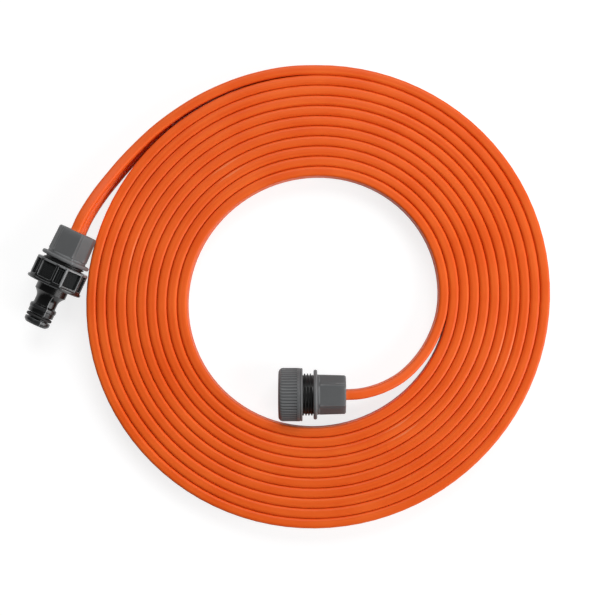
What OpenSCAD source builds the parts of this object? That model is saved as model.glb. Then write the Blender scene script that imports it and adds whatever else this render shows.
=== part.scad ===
// Flat three-channel soaker hose, wound on edge into a spiral and lying on the floor.
// It has a threaded inlet with a quick-connect adapter and a threaded outlet with an end cap.
// Units are millimetres. +Z is up. The origin is under the middle of the whole part.

/* [Hose] */
// Outer diameter of each of the three channel tubes
tube_d = 5.9; // [5.2:0.1:6.6]
// Distance between neighbouring tubes, centre to centre
tube_spacing = 5.85; // [5.6:0.05:6.1]
// Bore of each tube
tube_bore_d = 3.5; // [3.2:0.1:4]
// Thickness of the web that joins two tubes
web_t = 3.8; // [3:0.1:4.4]

/* [Coil] */
// Radius of the hose's centreline where the spiral starts
coil_start_r = 79.45; // [78:0.05:82]
// Free gap between one turn and the next
coil_gap = 0.44; // [0.44:0.02:0.8]
// Turns of the spiral, in quarter turns
coil_turns = 10.25; // [6.25:1:10.25]
// Radius that the spiral gains along its long axis, and loses across it
coil_oval_r = 1.6; // [0:0.1:2]
// Direction of the long axis
coil_oval_angle = 29; // [20:1:40]
// Flat cut on the underside of the hose, where it rests
foot_cut = 0.5; // [0.3:0.05:0.8]

/* [Nipple thread] */
// Outer diameter of the thread
thread_d = 26.44; // [25.8:0.02:27]
// Depth of the thread
thread_depth = 1.16; // [0.9:0.02:1.3]
// Pitch of the thread
thread_pitch = 1.814; // [1.7:0.002:2.2]
// Width of a ridge's crest
thread_crest = 0.3; // [0.2:0.05:0.4]
// Width of each of a ridge's sloping sides
thread_slope = 0.6; // [0.4:0.05:0.65]
// Length of the threaded nipple beyond the flange
thread_len = 12.6; // [11:0.1:14]
// Distance from the flange to the first ridge
thread_start = 0.7; // [0.4:0.1:1.4]
// Distance across the two plain flats of the thread
thread_flats = 24.1; // [24:0.1:26]
// Bore of the nipple
nipple_bore_d = 18; // [16:0.1:19]

/* [Barbed stems] */
// Diameter of the hub that carries the stems
hub_d = 19.2; // [18.8:0.1:19.6]
// Length of the hub inside the sleeve
hub_len = 7.6; // [6:0.1:9]
// Thickness of the hub's end wall
hub_wall_t = 2.4; // [1.6:0.1:3]
// Wall round the chamber in the hub
hub_side_t = 2; // [1:0.1:2.4]
// Length of the stems
stem_len = 11; // [8:0.1:11.5]
// Diameter of a stem between its barbs
stem_d = 3; // [2.6:0.1:3.1]
// Diameter of a barb
barb_d = 3.7; // [3.6:0.05:3.9]
// Water bore of each stem
stem_bore_d = 1.6; // [1:0.1:1.8]
// Barbs on each stem
barb_count = 3; // [1:1:4]

/* [Clamp sleeve] */
// Length of the eight-sided part
sleeve_len = 16.4; // [14:0.1:19]
// Height of the eight-sided part, across its top and bottom faces
sleeve_h = 21.6; // [21:0.1:22.4]
// Width of its top face before the edges are rounded
sleeve_face_w = 13; // [11:0.1:14]
// Width across its upright sides
sleeve_w = 24.4; // [23.6:0.1:25]
// Height of an upright side before its edges are rounded
sleeve_side_h = 6.6; // [5:0.1:9]
// Diameter that the edges are rounded to
sleeve_round_d = 25; // [24.4:0.1:25.6]
// Rounding of the mouth
sleeve_edge_r = 0.8; // [0.4:0.1:1]
// Length of the round collar behind the flange
collar_len = 1.5; // [1:0.1:2.5]
// Diameter of the flange
flange_d = 31.1; // [30:0.1:32]
// Thickness of the flange
flange_t = 2.3; // [1.6:0.1:3]
// Clearance between the hose and the sleeve, on each side
hose_fit = 0.1; // [0.05:0.05:0.2]
// Clearance between the hub and the sleeve, on each side
hub_fit = 0.1; // [0.05:0.05:0.2]

/* [Adapter nut] */
// Distance across the flats
nut_af = 33.2; // [32.4:0.1:33.8]
// Diameter across the cut corners
nut_corner_d = 35.2; // [34.4:0.1:35.4]
// Length of the nut
nut_len = 14.6; // [13.6:0.1:15.4]
// Thickness of the wall under the gasket
nut_wall_t = 2.4; // [1.6:0.1:3]
// Diameter of the round rim
rim_d = 35.4; // [35.4:0.1:37]
// Thickness of the rim
rim_t = 1.9; // [1.2:0.1:2.4]
// Width of the recessed window in each flat
window_w = 10.4; // [8:0.1:11.4]
// Length of the windows and corner recesses
window_len = 10.1; // [7:0.1:10.6]
// Depth of a window
window_depth = 1.5; // [0.8:0.1:1.9]
// Width of the recess in each corner
corner_slot_w = 4.7; // [2.5:0.1:5.4]
// Depth of a corner recess
corner_slot_depth = 1.6; // [0.8:0.1:2.4]
// Clearance between the threads, on each side
thread_fit = 0.08; // [0.04:0.01:0.1]

/* [Adapter nose] */
// Diameter of the shoulder next to the nut
shoulder_d = 20.2; // [19:0.1:22]
// Length of the shoulder
shoulder_len = 4.7; // [3.5:0.1:6]
// Length of the hollow-sided flare
flare_len = 5; // [3:0.1:6]
// Diameter of the neck that a connector's claws grip
neck_d = 14.4; // [14:0.1:15]
// Length of the neck
neck_len = 3.5; // [3:0.1:6]
// Length of the sloping back of the head
head_slope_len = 1.1; // [0.8:0.1:2]
// Diameter of the head's raised band
band_d = 17.3; // [17:0.1:18]
// Length of the raised band
band_len = 2; // [1.5:0.1:4]
// Diameter of the head's plain cylinder
head_d = 16.5; // [16.1:0.1:16.9]
// Length of the head's plain cylinder
head_len = 3.2; // [2.4:0.1:5]
// Width of the groove for the sealing ring
groove_w = 3.3; // [2.3:0.1:3.6]
// Depth of the groove
groove_depth = 1.9; // [1.5:0.1:2.2]
// Length of the lip in front of the groove
lip_len = 3.6; // [2.6:0.1:4.4]
// Chamfer on the lip
lip_chamfer = 1.5; // [0.6:0.1:2]
// Bore of the nose
nose_bore_d = 10.6; // [9:0.1:11]

/* [Seals] */
// Thickness of the sealing ring in the nose
ring_cord_d = 2; // [1.8:0.1:2.2]
// Clearance under the sealing ring
ring_fit = 0.04; // [0.02:0.01:0.1]
// Thickness of each flat gasket
gasket_t = 2; // [1.5:0.1:2.6]
// Clearance round a gasket, on each side
gasket_fit = 0.3; // [0.2:0.05:0.5]
// Bore of a gasket
gasket_bore_d = 15; // [13:0.1:17]
// Gap between a gasket and the wall that it seats on
gasket_seat = 0.02; // [0.01:0.01:0.05]

/* [End cap] */
// Diameter over the ribs
cap_d = 33.4; // [33:0.1:34]
// Length of the cap
cap_len = 15.1; // [13.5:0.1:16]
// Thickness of the end wall
cap_wall_t = 2; // [1.5:0.1:3]
// Ribs round the cap
cap_ribs = 52; // [30:2:60]
// Depth of the grooves between the ribs
rib_depth = 0.5; // [0.3:0.05:0.8]
// Share of a rib's spacing that its crest takes
rib_share = 0.45; // [0.3:0.05:0.6]
// Share of a rib's spacing that its foot takes
foot_share = 0.7; // [0.62:0.02:0.8]
// Length of the plain rim at the open end
cap_rim_len = 3.2; // [0.6:0.1:4]
// Rounding of the closed end's edge
cap_edge_r = 3; // [0.8:0.1:3.4]
// How far the cap is backed off from its seat, as it is left
cap_backed_off = 5.3; // [4:0.1:6]

/* [Lie] */
// Height of the outlet's axis above the lowest that its cap can lie
outlet_lift = 1; // [0:0.1:2]
// Height of the inlet's axis above the lowest that its nut can lie
inlet_lift = 1; // [0.4:0.1:2]
// Lean of the inlet's sleeve and hose, away from the coil
inlet_roll_angle = 9; // [0:1:14]
// Turn of the adapter from a corner of its nut at the top, towards the coil
nut_turn_angle = 10; // [0:1:30]

/* [Hidden] */

round_fn = 96;
small_fn = 32;
eps = 0.5;

// Hose section and coil
tube_r = tube_d / 2;
hose_w = 2 * tube_spacing + tube_d;
hose_mid_z = hose_w / 2 - foot_cut;
foot_half_w = sqrt(tube_r * tube_r - (tube_r - foot_cut) * (tube_r - foot_cut));
coil_pitch = tube_d + coil_gap;
coil_rings = 24;
coil_steps = round(coil_turns * coil_rings);

// Places along a fitting's axis, from the sleeve's mouth outwards
flange_z = sleeve_len + collar_len;
seat_z = flange_z + flange_t;
hub_z = seat_z - hub_len;
thread_end_z = seat_z + thread_len;
female_d = thread_d + 2 * thread_fit;
gasket_d = female_d - 2 * gasket_fit;
nut_end_z = thread_end_z + gasket_t + gasket_seat + nut_wall_t;
nut_start_z = nut_end_z - nut_len;
window_z = nut_start_z + (nut_len - rim_t - window_len) / 2;
flare_z = nut_end_z + shoulder_len;
neck_z = flare_z + flare_len;
slope_z = neck_z + neck_len;
band_z = slope_z + head_slope_len;
head_z = band_z + band_len;
groove_z = head_z + head_len;
lip_z = groove_z + groove_w;
tip_z = lip_z + lip_len;
groove_d = head_d - 2 * groove_depth;
cap_gasket_z = thread_end_z + cap_backed_off;
cap_floor_z = cap_gasket_z + gasket_t + gasket_seat;
cap_start_z = cap_floor_z + cap_wall_t - cap_len;

function coil_r(a) = coil_start_r + coil_pitch * a / 360 + coil_oval_r * cos(2 * (a - coil_oval_angle));
coil_end_a = 360 * coil_steps / coil_rings;

// A point beside the coil: degrees along the spiral, distance outwards from that turn, counted
// in the turns' spacing
function beside(a, spacings) = (coil_r(a) + spacings * coil_pitch) * [cos(a), sin(a)];
function coil_at(a) = beside(a, 0);
function outside_coil(bearing, spacings) = beside(coil_end_a - 360 + bearing, spacings);
function inside_coil(bearing, spacings) = beside(360 - bearing, -spacings);

// The sleeves' mouths: degrees round from the coil's end or start, spacings from the turn there
inlet_mouth_angle = 74.2;
inlet_mouth_turns = 2.27;
outlet_mouth_angle = 72.4;
outlet_mouth_turns = 3.25;
// How far round from the coil's end or start each fitting's axis points
inlet_angle = -114.9;
outlet_angle = -90;
inlet_at = outside_coil(inlet_mouth_angle, inlet_mouth_turns);
inlet_turn = coil_end_a + inlet_angle;
inlet_z = rim_d / 2 + inlet_lift;
outlet_at = inside_coil(outlet_mouth_angle, outlet_mouth_turns);
outlet_turn = outlet_angle;
outlet_z = cap_d / 2 + outlet_lift;

// The hose's runs between the coil and the sleeves: degrees round, spacings from the turn there,
// rise of the middle and lean. The last two are shares of the way to what the fitting has.
inlet_route = [[5.5, 1.06, 0, 0], [11, 1.09, 0, 0], [17, 1.11, 0, 0], [22.5, 1.13, 0, 0],
  [28.5, 1.16, 0, 0.05], [34, 1.18, 0, 0.15], [39.5, 1.2, 0, 0.4], [44.5, 1.23, 0.01, 0.7],
  [50, 1.29, 0.06, 0.9], [55, 1.42, 0.18, 1], [59.5, 1.57, 0.37, 1], [63.5, 1.77, 0.6, 1],
  [67.5, 1.97, 0.82, 1], [71, 2.15, 0.96, 1]];
outlet_route = [[7.5, 1.04, 0, 0], [15, 1.15, 0.04, 0], [22.5, 1.28, 0.13, 0],
  [30, 1.44, 0.26, 0], [37.5, 1.62, 0.41, 0], [44.5, 1.85, 0.57, 0], [52, 2.18, 0.73, 0],
  [59, 2.52, 0.87, 0], [65.5, 2.86, 0.97, 0]];
inlet_way = [for (p = inlet_route) [each outside_coil(p[0], p[1]), p[2], p[3]]];
outlet_way = [for (p = outlet_route) [each inside_coil(p[0], p[1]), p[2], p[3]]];

// Half of the hose's section, from its foot to its top: distance to the side, height
half_section = [[foot_half_w, foot_cut - hose_w / 2], [tube_r, -tube_spacing],
  [web_t / 2, -tube_spacing / 2], [tube_r, 0], [web_t / 2, tube_spacing / 2],
  [tube_r, tube_spacing], [tube_r * sin(45), tube_spacing + tube_r * cos(45)]];
half_n = len(half_section);
section = concat(half_section, [[0, hose_w / 2]],
  [for (i = [half_n - 1 : -1 : 0]) [-half_section[i][0], half_section[i][1]]]);
ring_n = len(section);

// One ring of points, none of them under the floor: centre, direction of the section's side
// axis, lean
function hose_ring(c, side, lean) = [for (p = section)
  let (x = p[0] * cos(lean) - p[1] * sin(lean), z = p[0] * sin(lean) + p[1] * cos(lean))
    [c[0] + x * cos(side), c[1] + x * sin(side), max(0, c[2] + z)]];

coil_skin = [for (i = [0 : coil_steps]) let (a = 360 * i / coil_rings)
  hose_ring([each coil_at(a), hose_mid_z], a + 180, 0)];

// Side axis of a ring on a run, square to the line between its neighbours
function side_of(a, b) = atan2(b[0] - a[0], a[1] - b[1]);
function run_skin(start, route, goal, z, lean, turn, first_side) =
  let (way = concat([[each start, 0, 0]], route, [[each goal, 1, 1]]), last = len(way) - 1)
    [for (i = [0 : last])
      hose_ring([way[i][0], way[i][1], hose_mid_z + (z - hose_mid_z) * way[i][2]],
        i == 0 ? first_side : i == last ? turn : side_of(way[i - 1], way[i + 1]),
        lean * way[i][3])];

inlet_skin = run_skin(coil_at(coil_end_a), inlet_way, inlet_at, inlet_z, inlet_roll_angle,
  inlet_turn, coil_end_a + 180);
outlet_skin = run_skin(coil_at(0), outlet_way, outlet_at, outlet_z, 0, outlet_turn, 0);

// The free hose's length along its middle, and the least gap between two turns
function length_of(rings, i = 1, sum = 0) = i >= len(rings) ? sum
  : length_of(rings, i + 1, sum + norm(rings[i][half_n] - rings[i - 1][half_n]));
turn_gap = min([for (i = [0 : coil_steps - coil_rings], p = coil_skin[i],
  q = coil_skin[i + coil_rings]) norm(p - q)]);
echo(str("least gap between two turns of the coil, mm: ", turn_gap));
echo(str("free length of the hose, mm: ",
  length_of(coil_skin) + length_of(inlet_skin) + length_of(outlet_skin)));

// The part's extent in plan, which puts the origin under its middle
axis_in = [sin(inlet_turn), -cos(inlet_turn)];
nose_edge = [inlet_at[0] + axis_in[0] * (tip_z - lip_chamfer) + axis_in[1] * head_d / 2,
  inlet_at[0] + axis_in[0] * head_z + axis_in[1] * band_d / 2,
  inlet_at[0] + axis_in[0] * (tip_z - lip_len / 2) + axis_in[1] * head_d / 2];
all_x = concat(nose_edge, [for (r = coil_skin, p = r) p[0]]);
all_y = [for (r = concat(coil_skin, inlet_skin), p = r) p[1]];
origin_at = [(min(all_x) + max(all_x)) / 2, (min(all_y) + max(all_y)) / 2, 0];

// A closed skin of triangles over rings of points
module skin(rings) {
  last = ring_n * (len(rings) - 1);
  top = half_n;
  sides = [for (i = [0 : len(rings) - 2], j = [0 : ring_n - 1])
    let (a = i * ring_n + j, b = i * ring_n + (j + 1) % ring_n)
      each [[a, a + ring_n, b + ring_n], [a, b + ring_n, b]]];
  lid = concat([for (i = [0 : half_n - 2])
    each [[i, i + 1, ring_n - 2 - i], [i, ring_n - 2 - i, ring_n - 1 - i]]],
    [[top - 1, top, top + 1]]);
  far_lid = [for (t = lid) [last + t[2], last + t[1], last + t[0]]];
  polyhedron([for (r = rings) each r], concat(sides, lid, far_lid));
}

module place(at, turn, z) {
  translate([at[0] - origin_at[0], at[1] - origin_at[1], z]) rotate([90, 0, turn]) children();
}
module at_inlet() { place(inlet_at, inlet_turn, inlet_z) children(); }
module at_outlet() { place(outlet_at, outlet_turn, outlet_z) children(); }

module on_tubes() {
  for (k = [-1 : 1]) translate([0, k * tube_spacing, 0]) children();
}

// The straight end of the hose that a sleeve grips
module hose_end() {
  linear_extrude(hub_z) difference() {
    union() {
      on_tubes() circle(d = tube_d, $fn = small_fn);
      square([web_t, 2 * tube_spacing], center = true);
    }
    on_tubes() circle(d = tube_bore_d, $fn = small_fn);
  }
}

// One stem, standing on the hub's end wall and pointing back into the hose
module stem() {
  barb_step = stem_len / barb_count;
  translate([0, 0, hub_z]) mirror([0, 0, 1]) rotate_extrude($fn = small_fn)
    polygon(concat([[stem_bore_d / 2, -hub_wall_t / 2], [stem_d / 2, -hub_wall_t / 2]],
      [for (k = [0 : barb_count - 1]) each [[stem_d / 2, (k + 0.4) * barb_step],
        [barb_d / 2, (k + 0.4) * barb_step], [stem_d / 2, (k + 1) * barb_step]]],
      [[stem_bore_d / 2, stem_len]]));
}

module thread_outline() {
  root_r = thread_d / 2 - thread_depth;
  ridges = floor((thread_len - thread_start) / thread_pitch);
  polygon(concat([[0, seat_z], [root_r, seat_z]],
    [for (k = [0 : ridges - 1]) let (z = seat_z + thread_start + k * thread_pitch)
      each [[root_r, z], [thread_d / 2, z + thread_slope],
        [thread_d / 2, z + thread_slope + thread_crest],
        [root_r, z + 2 * thread_slope + thread_crest]]],
    [[root_r, thread_end_z], [0, thread_end_z]]));
}

module nipple() {
  chamber_d = hub_d - 2 * hub_side_t;
  difference() {
    union() {
      intersection() {
        rotate_extrude($fn = round_fn) thread_outline();
        translate([-thread_d, -thread_flats / 2, seat_z - eps])
          cube([2 * thread_d, thread_flats, thread_len + 2 * eps]);
      }
      translate([0, 0, hub_z]) cylinder(d = hub_d, h = hub_len + eps, $fn = round_fn);
    }
    translate([0, 0, hub_z + hub_wall_t])
      cylinder(d = chamber_d, h = hub_len + thread_len, $fn = round_fn);
    translate([0, 0, seat_z + eps])
      cylinder(d = nipple_bore_d, h = thread_len, $fn = round_fn);
    on_tubes() translate([0, 0, hub_z - eps])
      cylinder(d = stem_bore_d, h = hub_wall_t + 2 * eps, $fn = small_fn);
  }
  on_tubes() stem();
}

module clamp_sleeve() {
  slot_w = tube_d + 2 * hose_fit;
  difference() {
    union() {
      intersection() {
        linear_extrude(sleeve_len + eps)
          polygon([[sleeve_w / 2, -sleeve_side_h / 2], [sleeve_w / 2, sleeve_side_h / 2],
            [sleeve_face_w / 2, sleeve_h / 2], [-sleeve_face_w / 2, sleeve_h / 2],
            [-sleeve_w / 2, sleeve_side_h / 2], [-sleeve_w / 2, -sleeve_side_h / 2],
            [-sleeve_face_w / 2, -sleeve_h / 2], [sleeve_face_w / 2, -sleeve_h / 2]]);
        rounded_disc(sleeve_round_d, sleeve_len + eps, sleeve_edge_r);
      }
      translate([0, 0, sleeve_len]) cylinder(d = sleeve_round_d, h = collar_len + eps, $fn = round_fn);
      translate([0, 0, flange_z]) cylinder(d = flange_d, h = flange_t, $fn = round_fn);
    }
    translate([0, 0, -eps]) linear_extrude(hub_z + 2 * eps) {
      square([slot_w, 2 * tube_spacing], center = true);
      for (k = [-1, 1]) translate([0, k * tube_spacing]) circle(d = slot_w, $fn = small_fn);
    }
    translate([0, 0, hub_z]) cylinder(d = hub_d + 2 * hub_fit, h = hub_len + eps, $fn = round_fn);
  }
}

// A disc with its edge at z = 0 rounded
module rounded_disc(d, h, r) {
  rotate_extrude($fn = round_fn) {
    translate([0, r]) square([d / 2, h - r]);
    square([d / 2 - r, h]);
    translate([d / 2 - r, r]) circle(r = r, $fn = small_fn);
  }
}

module nose_outline() {
  neck_r = neck_d / 2;
  shoulder_r = shoulder_d / 2;
  polygon(concat([[0, nut_end_z - eps], [shoulder_r, nut_end_z - eps], [shoulder_r, flare_z]],
    [for (k = [1 : 6]) [neck_r + (shoulder_r - neck_r) * pow(1 - k / 6, 2),
      flare_z + flare_len * k / 6]],
    [[neck_r, slope_z], [band_d / 2, band_z], [band_d / 2, head_z], [head_d / 2, head_z],
      [head_d / 2, groove_z], [groove_d / 2, groove_z], [groove_d / 2, lip_z],
      [head_d / 2, lip_z], [head_d / 2, tip_z - lip_chamfer],
      [head_d / 2 - lip_chamfer, tip_z], [0, tip_z]]));
}

module adapter() {
  difference() {
    union() {
      translate([0, 0, nut_start_z]) intersection() {
        rotate([0, 0, 30]) cylinder(r = nut_af / 2 / cos(30), h = nut_len, $fn = 6);
        cylinder(d = nut_corner_d, h = nut_len, $fn = round_fn);
      }
      translate([0, 0, nut_end_z - rim_t]) cylinder(d = rim_d, h = rim_t, $fn = round_fn);
      rotate_extrude($fn = round_fn) nose_outline();
    }
    for (k = [0 : 5]) rotate([0, 0, 60 * k]) {
      translate([nut_af / 2 - window_depth, -window_w / 2, window_z])
        cube([window_depth + eps, window_w, window_len]);
      rotate([0, 0, 30]) translate([nut_corner_d / 2 - corner_slot_depth, -corner_slot_w / 2, window_z])
        cube([corner_slot_depth + eps, corner_slot_w, window_len]);
    }
    translate([0, 0, nut_start_z - eps])
      cylinder(d = female_d, h = nut_len - nut_wall_t + eps, $fn = round_fn);
    translate([0, 0, nut_start_z]) cylinder(d = nose_bore_d, h = tip_z, $fn = round_fn);
  }
}

module gasket(z) {
  translate([0, 0, z]) difference() {
    cylinder(d = gasket_d, h = gasket_t, $fn = round_fn);
    translate([0, 0, -eps]) cylinder(d = gasket_bore_d, h = gasket_t + 2 * eps, $fn = round_fn);
  }
}

module sealing_ring() {
  translate([0, 0, (groove_z + lip_z) / 2]) rotate_extrude($fn = round_fn)
    translate([groove_d / 2 + ring_fit + ring_cord_d / 2, 0]) circle(d = ring_cord_d, $fn = small_fn);
}

module cap() {
  step = 360 / cap_ribs;
  spare = 0.2;
  tip_share = rib_share - (foot_share - rib_share) * spare / rib_depth;
  ribs = [for (k = [0 : cap_ribs - 1], e = [[-tip_share, spare], [tip_share, spare],
      [foot_share, -rib_depth], [2 - foot_share, -rib_depth]])
    let (a = step * (k + e[0] / 2), r = cap_d / 2 + e[1]) [r * cos(a), r * sin(a)]];
  translate([0, 0, cap_start_z]) difference() {
    union() {
      cylinder(d = cap_d, h = cap_rim_len, $fn = round_fn);
      intersection() {
        translate([0, 0, cap_len]) mirror([0, 0, 1]) rounded_disc(cap_d, cap_len, cap_edge_r);
        linear_extrude(cap_len + eps) polygon(ribs);
      }
    }
    translate([0, 0, -eps]) cylinder(d = female_d, h = cap_len - cap_wall_t + eps, $fn = round_fn);
  }
}

module hose_coil() { color("orangered") translate(-origin_at) skin(coil_skin); }
module hose_inlet_run() { color("coral") translate(-origin_at) skin(inlet_skin); }
module hose_outlet_run() { color("coral") translate(-origin_at) skin(outlet_skin); }
module hose_inlet_end() { color("tomato") at_inlet() rotate([0, 0, inlet_roll_angle]) hose_end(); }
module hose_outlet_end() { color("tomato") at_outlet() hose_end(); }
module inlet_nipple() { color("dimgray") at_inlet() rotate([0, 0, inlet_roll_angle]) nipple(); }
module inlet_clamp_sleeve() { color("slategray") at_inlet() rotate([0, 0, inlet_roll_angle]) clamp_sleeve(); }
module inlet_adapter() { color("darkslategray") at_inlet() rotate([0, 0, -nut_turn_angle]) adapter(); }
module inlet_gasket() { color("black") at_inlet() gasket(thread_end_z); }
module nose_sealing_ring() { color("gold") at_inlet() sealing_ring(); }
module outlet_nipple() { color("dimgray") at_outlet() nipple(); }
module outlet_clamp_sleeve() { color("slategray") at_outlet() clamp_sleeve(); }
module outlet_cap() { color("gray") at_outlet() cap(); }
module outlet_gasket() { color("black") at_outlet() gasket(cap_gasket_z); }

hose_coil();
hose_inlet_run();
hose_outlet_run();
hose_inlet_end();
hose_outlet_end();
inlet_nipple();
inlet_clamp_sleeve();
inlet_adapter();
inlet_gasket();
nose_sealing_ring();
outlet_nipple();
outlet_clamp_sleeve();
outlet_cap();
outlet_gasket();
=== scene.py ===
"""Soaker hose wound on edge, with its two fittings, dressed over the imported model.

Lengths are millimetres until make() turns them into Blender's metres.
"""
import math

import bmesh
import bpy
import numpy as np
from mathutils import Matrix, Vector


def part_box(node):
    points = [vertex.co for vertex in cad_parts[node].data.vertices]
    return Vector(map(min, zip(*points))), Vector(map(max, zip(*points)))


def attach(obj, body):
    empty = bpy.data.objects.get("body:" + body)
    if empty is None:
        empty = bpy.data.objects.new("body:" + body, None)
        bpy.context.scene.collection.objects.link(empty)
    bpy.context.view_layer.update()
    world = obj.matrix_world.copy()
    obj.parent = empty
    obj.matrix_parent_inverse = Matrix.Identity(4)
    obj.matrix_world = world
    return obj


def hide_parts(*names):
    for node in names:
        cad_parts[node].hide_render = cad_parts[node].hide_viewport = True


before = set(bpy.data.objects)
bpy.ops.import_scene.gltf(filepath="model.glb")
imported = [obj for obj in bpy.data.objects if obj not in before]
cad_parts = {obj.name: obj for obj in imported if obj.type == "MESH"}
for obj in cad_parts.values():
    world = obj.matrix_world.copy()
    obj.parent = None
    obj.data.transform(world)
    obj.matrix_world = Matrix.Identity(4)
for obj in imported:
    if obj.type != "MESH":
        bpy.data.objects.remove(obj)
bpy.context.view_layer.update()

MM = 0.001
FULL = 2 * math.pi

# Hose and coil, as in the part's source. In degrees, INLET_ROLL is how far the inlet's sleeve leans,
# NUT_TURN how far its adapter is turned the other way, and INLET_BACK how far the fitting points
# back from the coil's end.
TUBE_D, TUBE_SPACING = 5.9, 5.85
COIL_START_R, COIL_PITCH, COIL_TURNS = 79.45, 6.34, 10.25
COIL_OVAL, COIL_OVAL_ANGLE, FOOT_CUT = 1.6, 29, 0.5
HOSE_W = 2 * TUBE_SPACING + TUBE_D
HOSE_MID_Z = HOSE_W / 2 - FOOT_CUT
INLET_Z, OUTLET_Z = 18.7, 17.7
INLET_ROLL, NUT_TURN = 9, 10
INLET_BACK = 114.9

# The sleeves' mouths beside the coil: degrees round from its end or start, spacings from the turn
INLET_MOUTH, OUTLET_MOUTH = (74.2, 2.27), (72.4, 3.25)
# The hose's runs up to them: degrees round, spacings from the turn there, rise and lean as
# shares of what the fitting has
INLET_ROUTE = [
    (5.5, 1.06, 0, 0), (11, 1.09, 0, 0), (17, 1.11, 0, 0), (22.5, 1.13, 0, 0), (28.5, 1.16, 0, 0.05),
    (34, 1.18, 0, 0.15), (39.5, 1.2, 0, 0.4), (44.5, 1.23, 0.01, 0.7), (50, 1.29, 0.06, 0.9),
    (55, 1.42, 0.18, 1), (59.5, 1.57, 0.37, 1), (63.5, 1.77, 0.6, 1), (67.5, 1.97, 0.82, 1),
    (71, 2.15, 0.96, 1),
]
OUTLET_ROUTE = [
    (7.5, 1.04, 0, 0), (15, 1.15, 0.04, 0), (22.5, 1.28, 0.13, 0), (30, 1.44, 0.26, 0),
    (37.5, 1.62, 0.41, 0), (44.5, 1.85, 0.57, 0), (52, 2.18, 0.73, 0), (59, 2.52, 0.87, 0),
    (65.5, 2.86, 0.97, 0),
]


def beside(turns, spacings):
    """A point beside the coil, that many turn spacings outside the turn there."""
    a = FULL * turns
    r = COIL_START_R + COIL_PITCH * (turns + spacings)
    r += COIL_OVAL * math.cos(2 * (a - math.radians(COIL_OVAL_ANGLE)))
    return r * math.cos(a), r * math.sin(a)


def outside_coil(bearing, spacings):
    return beside(COIL_TURNS - 1 + bearing / 360, spacings)


def inside_coil(bearing, spacings):
    return beside(1 - bearing / 360, -spacings)


INLET_AT, OUTLET_AT = outside_coil(*INLET_MOUTH), inside_coil(*OUTLET_MOUTH)
INLET_TURN, OUTLET_TURN = 360 * (COIL_TURNS - 10) - INLET_BACK, -90
# the coil's centre isn't the frame's origin: the outlet's sleeve says where it lies
sleeve_low, sleeve_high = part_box("outlet_clamp_sleeve")
ORIGIN_AT = (OUTLET_AT[0] - sleeve_high[0] / MM, OUTLET_AT[1] - (sleeve_low[1] + sleeve_high[1]) / 2 / MM)


# ---------------------------------------------------------------- camera
# The camera looks straight down; a pixel covers PX millimetres at the height PLANE_Z
PX, FRAME_PX, PLANE_Z = 0.625, 616, 17.1
CAM_X, CAM_Y, CAM_H = 12.733, -7.022, 1067.0
cam_data = bpy.data.cameras.new("camera")
cam = bpy.data.objects.new("camera", cam_data)
bpy.context.scene.collection.objects.link(cam)
bpy.context.scene.camera = cam
cam_data.sensor_width = 36
cam_data.lens = cam_data.sensor_width * (CAM_H - PLANE_Z) / (FRAME_PX * PX)
cam.location = (CAM_X * MM, CAM_Y * MM, CAM_H * MM)
cam.rotation_euler = (0, 0, 0)
cam_data.clip_start, cam_data.clip_end = 0.05, 50


# ---------------------------------------------------------------- mesh helpers
def make(name, verts, faces, sharp=35, uvs=None):
    """A mesh object from points in millimetres, with its faces turned outwards."""
    me = bpy.data.meshes.new(name)
    me.from_pydata([tuple(v) for v in np.asarray(verts) * MM], [], faces)
    bm = bmesh.new()
    bm.from_mesh(me)
    bmesh.ops.recalc_face_normals(bm, faces=bm.faces)
    bm.to_mesh(me)
    bm.free()
    me.shade_smooth()
    me.set_sharp_from_angle(angle=math.radians(sharp))
    if uvs is not None:
        layer = me.uv_layers.new(name="along")
        idx = np.empty(len(me.loops), dtype=np.int32)
        me.loops.foreach_get("vertex_index", idx)
        layer.data.foreach_set("uv", uvs[idx].astype(np.float32).ravel())
    ob = bpy.data.objects.new(name, me)
    bpy.context.scene.collection.objects.link(ob)
    return ob


def skin(rings, closed=False):
    """Quads over rings of equally many points; the ends are joined up, or each gets a lid."""
    n, m = len(rings[0]), len(rings)
    faces = []
    for i in range(m if closed else m - 1):
        a, b = i * n, ((i + 1) % m) * n
        for j in range(n):
            k = (j + 1) % n
            faces.append((a + j, a + k, b + k, b + j))
    if not closed:
        faces.append(tuple(range(n - 1, -1, -1)))
        faces.append(tuple((m - 1) * n + j for j in range(n)))
    return np.concatenate(rings), faces


def joined(*parts):
    """Several skins as the points and faces of one mesh."""
    verts, faces, start = [], [], 0
    for points, polys in parts:
        verts.append(points)
        faces += [tuple(i + start for i in p) for p in polys]
        start += len(points)
    return np.concatenate(verts), faces


def rounded(points, steps=4):
    """A polyline of (r, z, fillet) with its corners rounded, as (r, z)."""
    out = []
    for i, (r, z, f) in enumerate(points):
        p = np.array([r, z], float)
        if f <= 0 or i in (0, len(points) - 1):
            out.append(p)
            continue
        a, b = np.array(points[i - 1][:2], float) - p, np.array(points[i + 1][:2], float) - p
        la, lb = np.linalg.norm(a), np.linalg.norm(b)
        a, b = a / la, b / lb
        half = math.acos(max(-1, min(1, a @ b))) / 2
        t = min(f / math.tan(half), 0.49 * la, 0.49 * lb)
        radius = t * math.tan(half)
        centre = p + (a + b) / np.linalg.norm(a + b) * radius / math.sin(half)
        p0, p1 = p + a * t, p + b * t
        for s in np.linspace(0, 1, steps + 1):
            q = p0 * (1 - s) + p1 * s - centre
            out.append(centre + q / np.linalg.norm(q) * radius)
    return [tuple(p) for p in out]


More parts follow.
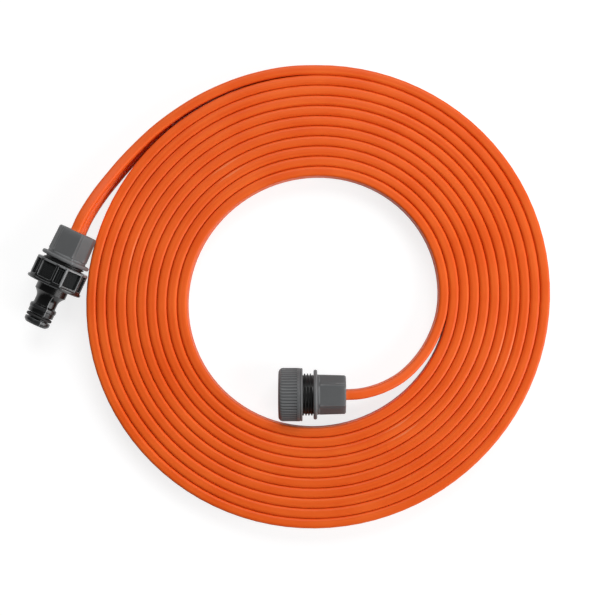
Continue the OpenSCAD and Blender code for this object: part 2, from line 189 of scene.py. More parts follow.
def lathe(stations, theta, centre=(0, 0), closed=False):
    """A skin over stations of (radius, z); a radius is a number or one for each angle."""
    rings = []
    for r, z in stations:
        r = np.broadcast_to(r, theta.shape)
        rings.append(np.stack([centre[0] + r * np.cos(theta), centre[1] + r * np.sin(theta),
                               np.full(theta.shape, float(z))], 1))
    return skin(rings, closed)


def fade(x):
    """0 to 1 with a soft start and end."""
    x = np.clip(x, 0, 1)
    return x * x * (3 - 2 * x)


def soft_min(*values, hardness=14):
    return -np.log(sum(np.exp(-hardness * v) for v in values)) / hardness


def fitting(at, turn, z, roll=0):
    """Where a fitting lies; its own z runs out of the hose's end, and y is up before the roll."""
    return (
        Matrix.Translation((at[0] - ORIGIN_AT[0], at[1] - ORIGIN_AT[1], z))
        @ Matrix.Rotation(math.radians(turn), 4, "Z")
        @ Matrix.Rotation(math.radians(90), 4, "X")
        @ Matrix.Rotation(math.radians(roll), 4, "Z")
    )


def moved(points, matrix):
    m = np.array(matrix)
    return np.asarray(points) @ m[:3, :3].T + m[:3, 3]


AT_INLET = fitting(INLET_AT, INLET_TURN, INLET_Z, INLET_ROLL)
AT_NUT = fitting(INLET_AT, INLET_TURN, INLET_Z, -NUT_TURN)
AT_OUTLET = fitting(OUTLET_AT, OUTLET_TURN, OUTLET_Z)


# ---------------------------------------------------------------- hose
RINGS_A_TURN, RUN_STEPS = 96, 4
TUBE_HALF_W, TUBE_SQUARENESS = 3.12, 3.6
WAIST_IN, WAIST_HALF_H = 1.1, 1.7
END_STEPS, WAIST_STEPS = 14, 29


def hose_section():
    """Outline of the hose's section, anticlockwise from its foot: side, height."""
    end = []
    for a in np.linspace(0, math.pi / 2, END_STEPS):
        p = 2 / TUBE_SQUARENESS
        end.append((TUBE_HALF_W * math.cos(a) ** p, TUBE_SPACING + TUBE_D / 2 * math.sin(a) ** p))
    middle = []
    for z in np.linspace(-TUBE_SPACING, TUBE_SPACING, WAIST_STEPS)[1:-1]:
        dip = fade(1 - abs(abs(z) - TUBE_SPACING / 2) / WAIST_HALF_H)
        middle.append((TUBE_HALF_W - WAIST_IN * dip, z))
    floor_z = FOOT_CUT - HOSE_W / 2
    right = [(x, max(-z, floor_z)) for x, z in reversed(end)] + middle + end
    left = [(-x, z) for x, z in reversed(right[1:-1])]
    return np.array(right + left)


def spline(points, per):
    """Points of a smooth curve through the given ones, per steps between two of them."""
    p = np.array(points, float)
    p = np.vstack([2 * p[0] - p[1], p, 2 * p[-1] - p[-2]])
    out = []
    for i in range(1, len(p) - 2):
        for s in np.arange(per) / per:
            a, b, c, d = p[i - 1], p[i], p[i + 1], p[i + 2]
            out.append(0.5 * (2 * b + (c - a) * s + (2 * a - 5 * b + 4 * c - d) * s * s
                              + (3 * b - a - 3 * c + d) * s ** 3))
    out.append(p[-2])
    return out


def hose_way():
    """The hose's line from the inlet's sleeve to the outlet's: x, y, z, lean."""
    turn = math.radians(INLET_TURN)
    axis_in = (math.sin(turn), -math.cos(turn))
    reach = 8
    steps = int(COIL_TURNS * RINGS_A_TURN)
    coil = [(*beside(i / RINGS_A_TURN, 0), 0, 0) for i in range(steps + 1)]
    past, before = (*beside(COIL_TURNS - 0.012, 0), 0, 0), (*beside(0.02, 0), 0, 0)
    route_in = [(*outside_coil(*p[:2]), *p[2:]) for p in INLET_ROUTE]
    route_out = [(*inside_coil(*p[:2]), *p[2:]) for p in OUTLET_ROUTE]
    beyond_in = (INLET_AT[0] + reach * axis_in[0], INLET_AT[1] + reach * axis_in[1], 1, 1)
    beyond_out = (OUTLET_AT[0] - reach, OUTLET_AT[1], 1, 0)
    run_in = spline([past, coil[-1], *route_in, (*INLET_AT, 1, 1), beyond_in], RUN_STEPS)
    run_out = spline([before, coil[0], *route_out, (*OUTLET_AT, 1, 0), beyond_out], RUN_STEPS)
    way = []
    for x, y, up, lean in reversed(run_in[RUN_STEPS:-RUN_STEPS]):
        way.append((x, y, HOSE_MID_Z + (INLET_Z - HOSE_MID_Z) * up, INLET_ROLL * lean))
    for x, y, _, _ in reversed(coil[1:-1]):
        way.append((x, y, HOSE_MID_Z, 0))
    for x, y, up, _ in run_out[RUN_STEPS:-RUN_STEPS]:
        way.append((x, y, HOSE_MID_Z + (OUTLET_Z - HOSE_MID_Z) * up, 0))
    return np.array(way)


def girth_of(sec):
    """Distance round the section at each of its points, from its foot."""
    return np.concatenate([[0], np.cumsum(np.linalg.norm(np.diff(sec, axis=0), axis=1))])


def build_hose():
    way, sec = hose_way(), hose_section()
    ahead = np.gradient(way[:, :2], axis=0)
    ahead[0] = [-math.sin(math.radians(INLET_TURN)), math.cos(math.radians(INLET_TURN))]
    ahead[-1] = [-1, 0]
    ahead /= np.linalg.norm(ahead, axis=1)[:, None]
    run = np.concatenate([[0], np.cumsum(np.linalg.norm(np.diff(way[:, :3], axis=0), axis=1))])
    around = girth_of(sec)
    rings, uvs = [], []
    for i, (x, y, z, lean) in enumerate(way):
        side = np.array([-ahead[i, 1], ahead[i, 0]])
        # the lean is about the way out of the inlet, against the way along the hose here
        c, s = math.cos(math.radians(lean)), -math.sin(math.radians(lean))
        u = -sec[:, 0] * c - sec[:, 1] * s
        w = -sec[:, 0] * s + sec[:, 1] * c
        rings.append(np.stack([x - ORIGIN_AT[0] + u * side[0], y - ORIGIN_AT[1] + u * side[1],
                               np.maximum(z + w, 0)], 1))
        uvs.append(np.stack([np.full(len(sec), run[i]), around], 1))
    verts, faces = skin(rings)
    ob = make("hose", verts, faces, sharp=50, uvs=np.concatenate(uvs) * MM)
    path = [((x - ORIGIN_AT[0]) * MM, (y - ORIGIN_AT[1]) * MM, z * MM) for x, y, z, _ in way]
    return ob, path, run[-1] * MM


hose, hose_path, hose_length = build_hose()
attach(hose, "hose")
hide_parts("hose_coil", "hose_inlet_run", "hose_outlet_run")


# ---------------------------------------------------------------- fittings
# Places along a fitting's axis, from the sleeve's mouth outwards
HUB_Z, SLEEVE_END_Z, FLANGE_Z, SEAT_Z, THREAD_END_Z = 12.6, 16.4, 17.9, 20.2, 32.8
HUB_R, CHAMBER_R, CHAMBER_Z, NIPPLE_BORE_R = 9.6, 7.6, 15.0, 9.0
THREAD_ROOT_R, THREAD_DEPTH, THREAD_PITCH, THREAD_FLAT = 12.06, 1.16, 1.814, 12.05
RIDGE_HALF, RIDGE_SLOPE, FIRST_RIDGE_Z = 0.75, 0.6, 21.2
FEMALE_R, FEMALE_CREST_R, FEMALE_GAP = 13.3, 12.4, 0.16
THREAD_STEP = 0.14


def helix_ridge(theta, z):
    """Height of the right-handed helical ridge: 0 at its root, 1 at its crest."""
    off = (z - FIRST_RIDGE_Z) / THREAD_PITCH - theta / FULL
    d = np.abs((off + 0.5) % 1 - 0.5) * THREAD_PITCH
    return fade((RIDGE_HALF - d) / RIDGE_SLOPE)


def evenly(n):
    return np.arange(n) * FULL / n


def female_thread(theta, start, end):
    """Stations of a threaded bore that runs on the nipple's ridge."""
    out = []
    for z in np.arange(start, end + THREAD_STEP / 2, THREAD_STEP):
        r = THREAD_ROOT_R + THREAD_DEPTH * helix_ridge(theta, z) + FEMALE_GAP
        r = np.clip(r, FEMALE_CREST_R, FEMALE_R)
        ends = fade((z - start) / 0.9) * fade((end - z) / 0.9)
        out.append((FEMALE_R + (r - FEMALE_R) * ends, z))
    return out


def nipple():
    theta = evenly(192)
    flat = THREAD_FLAT / np.maximum(np.abs(np.sin(theta)), 0.05)
    body = [(HUB_R - 0.4, HUB_Z), (HUB_R, HUB_Z + 0.4), (HUB_R, SEAT_Z), (THREAD_ROOT_R, SEAT_Z)]
    for z in np.arange(SEAT_Z + 0.1, THREAD_END_Z - 0.45, THREAD_STEP):
        ends = fade((z - SEAT_Z - 0.2) / 0.5) * fade((THREAD_END_Z - 0.5 - z) / 1.0)
        r = THREAD_ROOT_R + THREAD_DEPTH * helix_ridge(theta, z) * ends
        body.append((soft_min(r, flat, hardness=30), z))
    body += [(THREAD_ROOT_R - 0.05, THREAD_END_Z - 0.4), (THREAD_ROOT_R - 0.4, THREAD_END_Z),
             (NIPPLE_BORE_R + 0.4, THREAD_END_Z), (NIPPLE_BORE_R, THREAD_END_Z - 0.4),
             (NIPPLE_BORE_R, SEAT_Z + 0.5), (CHAMBER_R, SEAT_Z + 0.5), (CHAMBER_R, CHAMBER_Z)]
    stem_r, barb_r, bore_r, stem_len, barbs = 1.5, 1.85, 0.8, 11, 3
    step = stem_len / barbs
    stem = [(bore_r, HUB_Z + 1.2), (stem_r, HUB_Z + 1.2)]
    for k in range(barbs):
        top = HUB_Z - (k + 0.4) * step
        stem += [(stem_r, top), (barb_r, top), (barb_r, top - 0.15), (stem_r, HUB_Z - (k + 1) * step)]
    stem.append((bore_r, HUB_Z - stem_len))
    stems = [lathe(stem, evenly(32), (0, k * TUBE_SPACING), closed=True) for k in (-1, 0, 1)]
    return joined(lathe(body, theta), *stems)


SLEEVE_HALF_W, SLEEVE_HALF_H, SLEEVE_FACE, SLEEVE_SIDE = 12.2, 10.8, 6.5, 3.3
SLEEVE_ROUND_R, FLANGE_R, COLLAR_R, SLEEVE_BORE_R = 12.6, 15.55, 12.5, 9.7
CREASE_OUT, CREASE_HALF_W, CREASE_DEPTH = 1.3, 0.45, 0.32
SLOT_HALF_W, SLOT_HALF_H = 3.05, 5.85
MOUTH_EDGE_R, SLEEVE_DRAFT = 1.2, 0.038


def clamp_sleeve():
    top = math.degrees(math.atan2(SLEEVE_HALF_H, SLEEVE_FACE))
    low = math.degrees(math.atan2(SLEEVE_SIDE, SLEEVE_HALF_W))
    crease = top - math.degrees(CREASE_OUT / SLEEVE_ROUND_R)
    width = math.degrees(CREASE_HALF_W / SLEEVE_ROUND_R)
    marks = [m + e for m in (top, low) for e in (-2, -1, 0, 1, 2)]
    marks += [crease + width * e for e in (-2, -1.3, -0.7, 0, 0.7, 1.3, 2)]
    degrees = [m * k for m in marks for k in (1, -1)] + [180 + m * k for m in marks for k in (1, -1)]
    degrees = {round(d % 360, 2) for d in degrees + list(range(0, 360, 2))}
    theta = np.radians(sorted(degrees))
    c, s = np.abs(np.cos(theta)), np.abs(np.sin(theta))
    facet = math.atan2(SLEEVE_HALF_W - SLEEVE_FACE, SLEEVE_HALF_H - SLEEVE_SIDE)
    reach = SLEEVE_HALF_W * math.cos(facet) + SLEEVE_SIDE * math.sin(facet)
    eight = soft_min(SLEEVE_HALF_H / np.maximum(s, 0.2), SLEEVE_HALF_W / np.maximum(c, 0.2),
                     reach / np.maximum(c * math.cos(facet) + s * math.sin(facet), 0.2),
                     np.full_like(s, SLEEVE_ROUND_R), hardness=16)
    groove = np.exp(-((np.degrees(np.arctan2(s, c)) - crease) / width) ** 2)

    def stadium(grow):
        w = SLOT_HALF_W + grow
        side = w / np.maximum(c, 1e-6)
        end = SLOT_HALF_H * s + np.sqrt(np.maximum(w * w - (SLOT_HALF_H * c) ** 2, 0))
        return np.where(side * s <= SLOT_HALF_H, side, end)

    outside = rounded([(SLEEVE_BORE_R, SEAT_Z, 0), (FLANGE_R, SEAT_Z, 0.9), (FLANGE_R, FLANGE_Z, 0.9),
                       (COLLAR_R, FLANGE_Z, 0.45), (COLLAR_R, SLEEVE_END_Z, 0)])
    outside += [(COLLAR_R - 0.3, SLEEVE_END_Z - 0.15)]
    for z in [SLEEVE_END_Z - 0.35, *np.linspace(SLEEVE_END_Z - 0.7, MOUTH_EDGE_R, 6)]:
        share = 1 + SLEEVE_DRAFT * (z / SLEEVE_END_Z - 0.5)
        cut = CREASE_DEPTH * groove * fade((SLEEVE_END_Z - 0.5 - z) / 0.6) * fade((z - 1) / 0.6)
        outside.append((eight * share - cut, z))
    for a in np.radians([15, 30, 45, 60, 75, 90]):
        inward = MOUTH_EDGE_R * (1 - math.cos(a))
        outside.append((eight * (1 - SLEEVE_DRAFT / 2) - inward, MOUTH_EDGE_R * (1 - math.sin(a))))
    inside = [(stadium(0.5), 0), (stadium(0), 0.5), (stadium(0), HUB_Z), (SLEEVE_BORE_R, HUB_Z)]
    return lathe(outside + inside, theta, closed=True)


NUT_FACE, NUT_CORNER_R, RIM_R = 16.6, 17.6, 17.7
NUT_START_Z, NUT_END_Z, RIM_T, NUT_FLOOR_Z, NUT_THREAD_END_Z = 22.62, 37.22, 1.9, 34.82, 32.3
WINDOW_HALF_W, WINDOW_HALF_L, WINDOW_DEPTH, WINDOW_CORNER_R = 5.0, 5.0, 1.9, 0.9
WINDOW_Z = (NUT_START_Z + NUT_END_Z - RIM_T) / 2
RECESS_HALF_W, RECESS_DEPTH, RECESS_CORNER_R = 2.2, 1.6, 0.3
RIM_EDGE_R, KNURL_STEP, KNURL_H, RIB_H = 0.7, 1.15, 0.35, 0.8
NOSE_BORE_R = 5.3


def box_depth(x, y, half_w, half_h, corner):
    """How far a point is inside a rectangle with rounded corners; negative outside."""
    dx, dy = np.abs(x) - half_w + corner, np.abs(y) - half_h + corner
    outer = np.hypot(np.maximum(dx, 0), np.maximum(dy, 0))
    return corner - outer - np.minimum(np.maximum(dx, dy), 0)


def nut_angles():
    """Angles round the nut: finer over each corner than over a flat."""
    sector = np.concatenate([np.arange(-19.8, 20, 0.9), np.arange(20.25, 39.7, 0.75)])
    return np.radians(np.concatenate([sector + 60 * k for k in range(6)]))


def nut_radius(theta, z):
    """The nut's outside at one height, with the windows in its flats and recesses in its corners."""
    a = (np.degrees(theta) + 30) % 60 - 30
    slant = np.cos(np.radians(a))
    body = soft_min(NUT_FACE / slant, np.full_like(a, NUT_CORNER_R))
    r = body + (RIM_R - body) * fade((z - (NUT_END_Z - RIM_T - 0.3)) / 0.5)
    along = z - WINDOW_Z
    across = NUT_FACE * np.tan(np.radians(a))
    depth = box_depth(across, along, WINDOW_HALF_W, WINDOW_HALF_L, WINDOW_CORNER_R)
    sunk = fade(depth / 0.35)
    weave = [0.5 + 0.5 * np.cos(FULL * (across * 0.8 + k * along * 0.6) / KNURL_STEP) for k in (-1, 1)]
    r = r - sunk * WINDOW_DEPTH + fade((depth - 0.5) / 0.3) * KNURL_H * weave[0] * weave[1]
    from_corner = NUT_CORNER_R * np.radians(30 - np.abs(a))
    depth = box_depth(from_corner, along, RECESS_HALF_W, WINDOW_HALF_L, RECESS_CORNER_R)
    sunk = fade(depth / 0.25)
    ribs = fade(1.6 - np.abs(from_corner - 0.85) / 0.22)
    steps = fade(1.5 - abs(along + WINDOW_HALF_L - 1.6) / 0.3)
    return r - sunk * (RECESS_DEPTH - RIB_H * np.maximum(ribs, steps))


def adapter():
    theta = nut_angles()
    outside = [(FEMALE_R + 0.5, NUT_START_Z)]
    first = nut_radius(theta, NUT_START_Z)
    outside += [(first - 0.45, NUT_START_Z), (first - 0.12, NUT_START_Z + 0.12), (first, NUT_START_Z + 0.45)]
    low, high = WINDOW_Z - WINDOW_HALF_L, WINDOW_Z + WINDOW_HALF_L
    beside_windows = np.arange(low - 0.1, high + 0.2, 0.2)
    past_windows = np.linspace(high + 0.3, NUT_END_Z - RIM_EDGE_R, 8)
    for z in np.concatenate([beside_windows, past_windows]):
        outside.append((nut_radius(theta, z), z))
    for a in np.radians([30, 60, 90]):
        edge = RIM_R - RIM_EDGE_R * (1 - math.cos(a))
        outside.append((edge, NUT_END_Z - RIM_EDGE_R + RIM_EDGE_R * math.sin(a)))
    shoulder_r, neck_r, band_r, head_r, groove_r = 10.1, 7.2, 8.65, 8.25, 6.35
    flare_z, neck_z, slope_z, band_z = 41.92, 46.92, 50.42, 51.52
    head_z, groove_z, lip_z, tip_z, chamfer = 53.52, 56.72, 60.02, 63.62, 1.5
    flare = [(neck_r + (shoulder_r - neck_r) * (1 - t) ** 2, flare_z + (neck_z - flare_z) * t, 0)
             for t in np.arange(1, 11) / 10]
    outside += rounded([
        (shoulder_r + 1, NUT_END_Z, 0), (shoulder_r, NUT_END_Z, 0.6), (shoulder_r, flare_z, 0.3), *flare,
        (neck_r, slope_z, 0.3), (band_r, band_z, 0.4), (band_r, head_z, 0.3), (head_r, head_z + 0.25, 0.1),
        (head_r, groove_z, 0.25), (groove_r, groove_z, 0.2), (groove_r, lip_z, 0.2), (head_r, lip_z, 0.25),
        (head_r, tip_z - chamfer, 1.2), (head_r - chamfer, tip_z, 0.6), (NOSE_BORE_R + 0.4, tip_z, 0),
        (NOSE_BORE_R, tip_z - 0.4, 0), (NOSE_BORE_R, NUT_FLOOR_Z, 0), (FEMALE_R, NUT_FLOOR_Z, 0),
    ])
    # the nipple's helix, seen from the adapter's own turn
    on_nipple = theta - math.radians(NUT_TURN + INLET_ROLL)
    thread = female_thread(on_nipple, NUT_START_Z + 0.5, NUT_THREAD_END_Z)
    return lathe(outside + thread[::-1], theta, closed=True)


CAP_R, CAP_START_Z, CAP_END_Z, CAP_FLOOR_Z, CAP_THREAD_END_Z = 16.7, 27.02, 42.12, 40.12, 37.6
CAP_RIBS, RIB_DEPTH, CAP_RIM_LEN, CAP_EDGE_R = 52, 0.5, 3.3, 3.0


def cap():
    place = np.array([-0.5, -0.4, -0.31, -0.22, -0.13, 0, 0.13, 0.22, 0.31, 0.4])
    theta = np.radians((np.arange(CAP_RIBS)[:, None] + place).ravel() * 360 / CAP_RIBS)
    grooves = np.tile(1 - fade((0.38 - np.abs(place)) / 0.24), CAP_RIBS)
    ribs_z = CAP_START_Z + CAP_RIM_LEN
    inside = [(FEMALE_R - 0.4, CAP_FLOOR_Z), (FEMALE_R, CAP_FLOOR_Z - 0.4)]
    inside += female_thread(theta, CAP_START_Z + 0.5, CAP_THREAD_END_Z)[::-1]
    rim_r, line_r = CAP_R - 0.1, CAP_R - 0.35
    outside = rounded([
        (FEMALE_R + 0.4, CAP_START_Z, 0), (rim_r, CAP_START_Z, 0.7), (rim_r, CAP_START_Z + 1.2, 0.1),
        (line_r, CAP_START_Z + 1.3, 0.05), (line_r, CAP_START_Z + 1.6, 0.05),
        (CAP_R, CAP_START_Z + 1.75, 0.1), (CAP_R, ribs_z - 0.05, 0)])
    for z in (ribs_z, ribs_z + 0.15, ribs_z + 0.4, ribs_z + 4, CAP_END_Z - CAP_EDGE_R - 2):
        outside.append((CAP_R - RIB_DEPTH * grooves * fade((z - ribs_z + 0.02) / 0.35), z))
    for a in np.radians(np.arange(0, 91, 7.5)):
        edge = CAP_R - CAP_EDGE_R * (1 - math.cos(a))
        radius = np.minimum(CAP_R - RIB_DEPTH * grooves, edge)
        outside.append((radius, CAP_END_Z - CAP_EDGE_R * (1 - math.sin(a))))
    outside += rounded([(12.4, CAP_END_Z, 0), (12.0, CAP_END_Z, 0.2), (11.7, CAP_END_Z - 0.35, 0.2),
                        (1.6, CAP_END_Z - 0.35, 0), (1.4, CAP_END_Z - 0.55, 0)])
    return lathe(inside + outside, theta)


def dress(ob, *mats):
    ob.data.materials.clear()
    for m in mats:
        ob.data.materials.append(m)


def build(name, shape, at, body, node_name):
    """A fitting's piece in its place, riding on its body instead of its plain node."""
    ob = make(name, moved(shape[0], at), shape[1])
    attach(ob, body)
    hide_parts(node_name)
    return ob


nipple_shape, sleeve_shape = nipple(), clamp_sleeve()
nipples = [build("threaded_nipple_inlet", nipple_shape, AT_INLET, "hose", "inlet_nipple"),
           build("threaded_nipple_outlet", nipple_shape, AT_OUTLET, "hose", "outlet_nipple")]
sleeves = [build("sleeve_inlet", sleeve_shape, AT_INLET, "hose", "inlet_clamp_sleeve"),
           build("sleeve_outlet", sleeve_shape, AT_OUTLET, "hose", "outlet_clamp_sleeve")]
adapter_shape = adapter()
adapter_piece = build("quick_connect_adapter", adapter_shape, AT_NUT, "adapter",
                      "inlet_adapter")
cap_piece = build("end_cap", cap(), AT_OUTLET, "cap", "outlet_cap")


def in_window(shape, face):
    """Whether a face of the adapter is in one of the nut's windows or corner recesses."""
    x, y, z = shape[0][list(face.vertices)].mean(0)
    a = (math.degrees(math.atan2(y, x)) + 30) % 60 - 30
    across, from_corner = NUT_FACE * math.tan(math.radians(a)), NUT_CORNER_R * math.radians(30 - abs(a))
    window = box_depth(across, z - WINDOW_Z, WINDOW_HALF_W, WINDOW_HALF_L, WINDOW_CORNER_R)
    recess = box_depth(from_corner, z - WINDOW_Z, RECESS_HALF_W, WINDOW_HALF_L, RECESS_CORNER_R)
    return math.hypot(x, y) > FEMALE_R + 0.4 and max(window, recess) > 0.25


# ---------------------------------------------------------------- materials
def material(name, base, rough, **sockets):
    mat = bpy.data.materials.new(name)
    mat.use_nodes = True
    nt = mat.node_tree
    bsdf = nt.nodes["Principled BSDF"]
    bsdf.inputs["Base Color"].default_value = (*base, 1)
    bsdf.inputs["Roughness"].default_value = rough
    for key, value in sockets.items():
        bsdf.inputs[key.replace("_", " ")].default_value = value
    return mat, nt, bsdf


def node(nt, kind, inputs=(), **props):
    n = nt.nodes.new(kind)
    for key, value in props.items():
        setattr(n, key, value)
    for key, value in dict(inputs).items():
        if isinstance(value, bpy.types.NodeSocket):
            nt.links.new(value, n.inputs[key])
        else:
            n.inputs[key].default_value = value
    return n


def math_node(nt, op, a, b=None, c=None):
    return node(nt, "ShaderNodeMath", {i: v for i, v in enumerate((a, b, c)) if v is not None},
                operation=op).outputs[0]


def noise(nt, vector, scale, detail=3, rough=0.5):
    return node(nt, "ShaderNodeTexNoise", {"Vector": vector, "Scale": scale, "Detail": detail,
                                           "Roughness": rough}).outputs["Fac"]


def map_range(nt, value, lo, hi, to_lo, to_hi):
    return node(nt, "ShaderNodeMapRange", {"Value": value, "From Min": lo, "From Max": hi,
                                           "To Min": to_lo, "To Max": to_hi}).outputs[0]


def mix_colour(nt, fac, a, b):
    n = node(nt, "ShaderNodeMix", data_type="RGBA")
    for socket, value in ((n.inputs[0], fac), (n.inputs[6], a), (n.inputs[7], b)):
        if isinstance(value, bpy.types.NodeSocket):
            nt.links.new(value, socket)
        else:
            socket.default_value = value
    return n.outputs[2]


def bump(nt, bsdf, height, distance, strength=1.0):
    n = node(nt, "ShaderNodeBump", {"Height": height, "Distance": distance, "Strength": strength})
    nt.links.new(n.outputs[0], bsdf.inputs["Normal"])


# metres along the hose from one spray hole to the next, and a hole's radius where it starts and
# ends to fade
SPRAY_SPACING, SPRAY_HOLE_R = 0.063, (0.00018, 0.0003)


def spray_rows():
    """Distance round the section of the three tubes' outward sides, in metres."""
    sec = hose_section()
    around = girth_of(sec)
    rows = []
    for k in (-1, 0, 1):
        far = np.hypot(sec[:, 0] + TUBE_HALF_W, sec[:, 1] - k * TUBE_SPACING)
        rows.append(around[int(far.argmin())] * MM)
    return rows


def hose_material():
    mat, nt, bsdf = material("hose_orange", (0.8, 0.13, 0.022), 0.45, IOR=1.47, Specular_IOR_Level=0.28)
    coord = node(nt, "ShaderNodeTexCoord")
    uv, place = coord.outputs["UV"], coord.outputs["Object"]
    # extrusion lines, long along the hose and narrow across it
    lines = []
    for along, across in ((9, 1500), (4, 520)):
        stretched = node(nt, "ShaderNodeMapping", {"Vector": uv, "Scale": (along, across, 1)}).outputs[0]
        lines.append(noise(nt, stretched, 1.0, 2))
    cloud = noise(nt, place, 38, 3)
    grain = noise(nt, place, 2600, 2)
    streak = math_node(nt, "ADD", math_node(nt, "MULTIPLY", lines[0], 0.4),
                       math_node(nt, "MULTIPLY", lines[1], 0.6))
    tone = math_node(nt, "ADD", math_node(nt, "MULTIPLY", streak, 0.6),
                     math_node(nt, "MULTIPLY", cloud, 0.4))
    colour = mix_colour(nt, map_range(nt, tone, 0.36, 0.64, 0, 1), (0.87, 0.098, 0.008, 1),
                        (0.96, 0.148, 0.016, 1))
    # painted highlight: where the hose curves sharply along each turn's edges the orange is tinted pale
    # salmon, standing in for the side lamps' sheen on the rounded corners
    edge = node(nt, "ShaderNodeNewGeometry").outputs["Pointiness"]
    colour = mix_colour(nt, map_range(nt, edge, 0.52, 0.6, 0, 0.5), colour, (0.98, 0.3, 0.12, 1))
    # pin-prick spray holes in three staggered rows on the hose's outward side, each painted near-black as
    # painted shade inside the hole
    split = node(nt, "ShaderNodeSeparateXYZ", {"Vector": uv})
    dots = None
    for row, around in enumerate(spray_rows()):
        shifted = math_node(nt, "ADD", split.outputs[0], row * SPRAY_SPACING / 3)
        along = math_node(nt, "WRAP", shifted, SPRAY_SPACING / 2, -SPRAY_SPACING / 2)
        across = math_node(nt, "SUBTRACT", split.outputs[1], around)
        far = math_node(nt, "SQRT", math_node(nt, "ADD", math_node(nt, "MULTIPLY", along, along),
                                              math_node(nt, "MULTIPLY", across, across)))
        dot = map_range(nt, far, *SPRAY_HOLE_R, 1, 0)
        dots = dot if dots is None else math_node(nt, "MAXIMUM", dots, dot)
    nt.links.new(mix_colour(nt, dots, colour, (0.03, 0.006, 0.003, 1)), bsdf.inputs["Base Color"])
    nt.links.new(map_range(nt, cloud, 0.3, 0.7, 0.38, 0.48), bsdf.inputs["Roughness"])
    height = math_node(nt, "ADD", math_node(nt, "MULTIPLY", streak, 0.8),
                       math_node(nt, "MULTIPLY", grain, 0.2))
    height = math_node(nt, "SUBTRACT", height, math_node(nt, "MULTIPLY", dots, 4))
    bump(nt, bsdf, height, 0.0001)
    return mat


def plastic(name, dark, light, rough, grain, edge_highlight_at, flow_share, **sockets):
    """Moulded plastic: spark-eroded grain, faint flow marks and a painted highlight along sharp edges.

    grain is its size and depth in metres; edge_highlight_at is the pointiness where the painted highlight
    on edges starts and where it is light all over; flow_share is how much the flow marks lighten it.
    """
    mat, nt, bsdf = material(name, dark, rough, IOR=1.5, **sockets)
    place = node(nt, "ShaderNodeTexCoord").outputs["Object"]
    flow = noise(nt, place, 90, 4, 0.6)
    spark = noise(nt, place, 1 / grain[0], 2, 0.6)
    edge = node(nt, "ShaderNodeNewGeometry").outputs["Pointiness"]
    # painted highlight: sharp convex edges are lightened towards the light colour, standing in for the
    # lamps' sheen along them
    edge_highlight = map_range(nt, edge, *edge_highlight_at, 0, 1)
    tone = math_node(nt, "ADD", math_node(nt, "MULTIPLY", flow, flow_share), edge_highlight)
    nt.links.new(mix_colour(nt, tone, (*dark, 1), (*light, 1)), bsdf.inputs["Base Color"])
    nt.links.new(map_range(nt, flow, 0.3, 0.7, rough - 0.05, rough + 0.07), bsdf.inputs["Roughness"])
    bump(nt, bsdf, spark, grain[1])
    return mat


ORANGE = hose_material()
GREY = plastic("fitting_grey", dark=(0.094, 0.097, 0.099), light=(0.2, 0.205, 0.21), rough=0.52,
               grain=(0.00045, 0.00004), edge_highlight_at=(0.504, 0.55), flow_share=0.2, Specular_IOR_Level=0.35)
BLACK = plastic("fitting_black", dark=(0.0012, 0.0014, 0.0015), light=(0.19, 0.195, 0.2), rough=0.25,
                grain=(0.0006, 0.00003), edge_highlight_at=(0.508, 0.56), flow_share=0.01)
FLOOR_BLACK = plastic("window_black", dark=(0.006, 0.007, 0.007), light=(0.03, 0.032, 0.033), rough=0.6,
                      grain=(0.0004, 0.00004), edge_highlight_at=(0.51, 0.6), flow_share=0.3, Specular_IOR_Level=0.2)
THREAD = plastic("thread_black", dark=(0.005, 0.005, 0.005), light=(0.03, 0.03, 0.03), rough=0.36,
                 grain=(0.0006, 0.00002), edge_highlight_at=(0.51, 0.6), flow_share=0.3)
RUBBER = plastic("rubber_black", dark=(0.008, 0.008, 0.008), light=(0.016, 0.016, 0.016), rough=0.62,
                 grain=(0.0003, 0.00003), edge_highlight_at=(0.51, 0.6), flow_share=0.35)

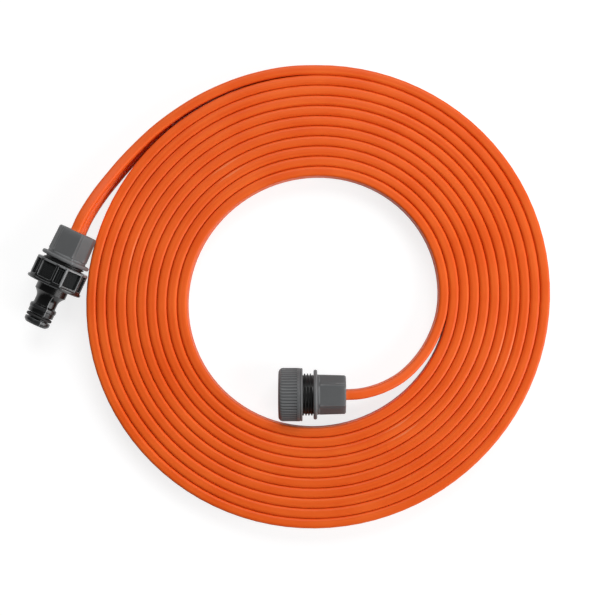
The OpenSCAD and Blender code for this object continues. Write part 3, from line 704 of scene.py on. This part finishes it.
dress(hose, ORANGE)
for ob in sleeves + [cap_piece]:
    dress(ob, GREY)
for ob in nipples:
    dress(ob, THREAD)
dress(adapter_piece, BLACK, FLOOR_BLACK)
for face in adapter_piece.data.polygons:
    face.material_index = int(in_window(adapter_shape, face))
for name in ("hose_inlet_end", "hose_outlet_end"):
    dress(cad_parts[name], ORANGE)
for name in ("inlet_gasket", "outlet_gasket", "nose_sealing_ring"):
    dress(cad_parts[name], RUBBER)


# ---------------------------------------------------------------- floor and light
FLOOR_HALF_W, FLOOR_Z, FLOOR_GLOW = 30, -0.0002, 0.8


def floor():
    """A pale floor: seen directly it glows nearly white, and it keeps the object's shadow."""
    me = bpy.data.meshes.new("floor")
    s = FLOOR_HALF_W
    me.from_pydata([(-s, -s, 0), (s, -s, 0), (s, s, 0), (-s, s, 0)], [], [(0, 1, 2, 3)])
    ob = bpy.data.objects.new("floor", me)
    bpy.context.scene.collection.objects.link(ob)
    ob.location.z = FLOOR_Z
    mat, nt, bsdf = material("floor_white", (0.34, 0.34, 0.34), 0.9, Specular_IOR_Level=0.0)
    light_path = node(nt, "ShaderNodeLightPath")
    seen = light_path.outputs["Is Camera Ray"]
    for kind in ("Is Glossy Ray", "Is Transmission Ray"):
        seen = math_node(nt, "MAXIMUM", seen, light_path.outputs[kind])
    bsdf.inputs["Emission Color"].default_value = (1, 1, 1, 1)
    nt.links.new(math_node(nt, "MULTIPLY", seen, FLOOR_GLOW), bsdf.inputs["Emission Strength"])
    me.materials.append(mat)


def area(name, place, size, power):
    """A soft box that faces the frame's origin."""
    data = bpy.data.lights.new(name, "AREA")
    data.shape, data.size, data.size_y = "RECTANGLE", *size
    data.energy = power
    ob = bpy.data.objects.new(name, data)
    bpy.context.scene.collection.objects.link(ob)
    ob.location = place
    ob.rotation_mode = "QUATERNION"
    ob.rotation_quaternion = Vector(place).to_track_quat("Z", "Y")


floor()
area("left_box", (-1.1, 1.35, 0.8), (1.2, 0.9), 3)
area("right_box", (1.6, -0.58, 0.85), (1.3, 1.7), 31)
area("back_box", (0.2, 1.15, 1.4), (1.4, 1.0), 19)
world = bpy.data.worlds.new("world")
world.use_nodes = True
world.node_tree.nodes["Background"].inputs["Color"].default_value = (1, 1, 1, 1)
world.node_tree.nodes["Background"].inputs["Strength"].default_value = 0.1
bpy.context.scene.world = world
bpy.context.scene.view_settings.view_transform = "Standard"
